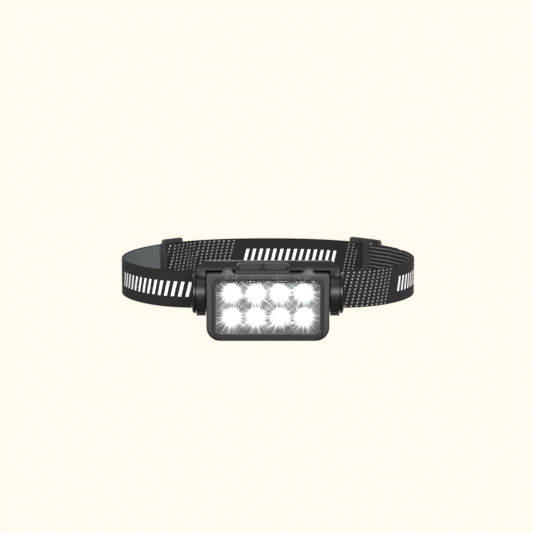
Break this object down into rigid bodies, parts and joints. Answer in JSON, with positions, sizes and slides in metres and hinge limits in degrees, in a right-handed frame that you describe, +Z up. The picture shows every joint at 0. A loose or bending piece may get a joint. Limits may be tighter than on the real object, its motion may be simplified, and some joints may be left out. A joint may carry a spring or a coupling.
{
  "type": "headlamp",
  "caption": "Elastic head strap with two sliders carrying a rectangular LED lamp head that tilts in a yoke, with two push buttons on top.",
  "frame": {"origin": "middle of the forehead pad's flat rear face, which lies on the wearer's forehead", "axes": "+Y out of the pad's rear face towards the head, -Y the way the lamp shines, +X to the lamp's right as seen from the front, +Z up"},
  "size_m": [0.2032, 0.1925, 0.0504],
  "materials": {
    "housing_plastic": "moulded black ABS, fine spark texture",
    "bezel_plastic": "satin dark grey ABS",
    "yoke_plastic": "satin black nylon",
    "button_rubber": "matt grey silicone rubber",
    "black_rubber": "black silicone rubber",
    "lens": "clear polycarbonate",
    "reflector": "vacuum-metallised plastic",
    "led_board": "white solder mask on aluminium",
    "circuit_board": "green solder mask",
    "led_package": "white LED package with phosphor, lit",
    "steel": "zinc plated",
    "battery": "silver pouch foil",
    "webbing": "woven elastic webbing with light dots",
    "foam": "closed-cell foam",
    "slider_plastic": "moulded black acetal"
  },
  "bodies": {
    "yoke_and_strap": {"yoke": "yoke_plastic", "strap_keeper": "yoke_plastic", "keeper_screw_left": "steel", "keeper_screw_right": "steel", "forehead_pad": "foam", "strap_front": "webbing", "strap_rear": "webbing", "slider_right": "slider_plastic"},
    "lamp_head": {"front_bezel": "bezel_plastic", "front_lens": "lens", "lens_gasket": "black_rubber", "reflector": "reflector", "led_1": "led_package", "led_2": "led_package", "led_3": "led_package", "led_4": "led_package", "led_5": "led_package", "led_6": "led_package", "led_7": "led_package", "led_8": "led_package", "led_board": "led_board", "control_board": "circuit_board", "charging_port": "steel", "rear_housing": "housing_plastic", "battery_cell": "battery", "ratchet_disc_left": "steel", "ratchet_disc_right": "steel", "pivot_left": "housing_plastic", "pivot_right": "housing_plastic", "hinge_cap_left": "housing_plastic", "hinge_cap_right": "housing_plastic", "pivot_screw_left": "steel", "pivot_screw_right": "steel", "switch_pod": "bezel_plastic", "tact_switch_left": "steel", "tact_switch_right": "steel", "switch_board": "circuit_board"},
    "button_left": {"button_left": "button_rubber"},
    "button_right": {"button_right": "button_rubber"},
    "port_cover": {"port_cover": "black_rubber"},
    "slider_left": {"slider_left": "slider_plastic", "strap_sewn_end": "webbing"}
  },
  "joints": [
    {"name": "lamp_tilt", "type": "hinge", "parent": "yoke_and_strap", "child": "lamp_head", "pos_m": [0, -0.023, 0], "axis": [1, 0, 0], "range_deg": [0, 45]},
    {"name": "button_left_press", "type": "slide", "parent": "lamp_head", "child": "button_left", "axis": [0, 0.4067, -0.9135], "range_m": [0, 0.0005], "stiffness_N_per_m": 1500, "springref_m": -0.0003},
    {"name": "button_right_press", "type": "slide", "parent": "lamp_head", "child": "button_right", "axis": [0, 0.4067, -0.9135], "range_m": [0, 0.0005], "stiffness_N_per_m": 1500, "springref_m": -0.0003},
    {"name": "port_cover_open", "type": "hinge", "parent": "lamp_head", "child": "port_cover", "pos_m": [0, -0.0321, -0.02825], "axis": [-1, 0, 0], "range_deg": [0, 110]},
    {"name": "slider_left_travel", "type": "hinge", "parent": "yoke_and_strap", "child": "slider_left", "pos_m": [-0.00937, 0.06052, 0], "axis": [0, 0, -1], "range_deg": [0, 8]}
  ]
}
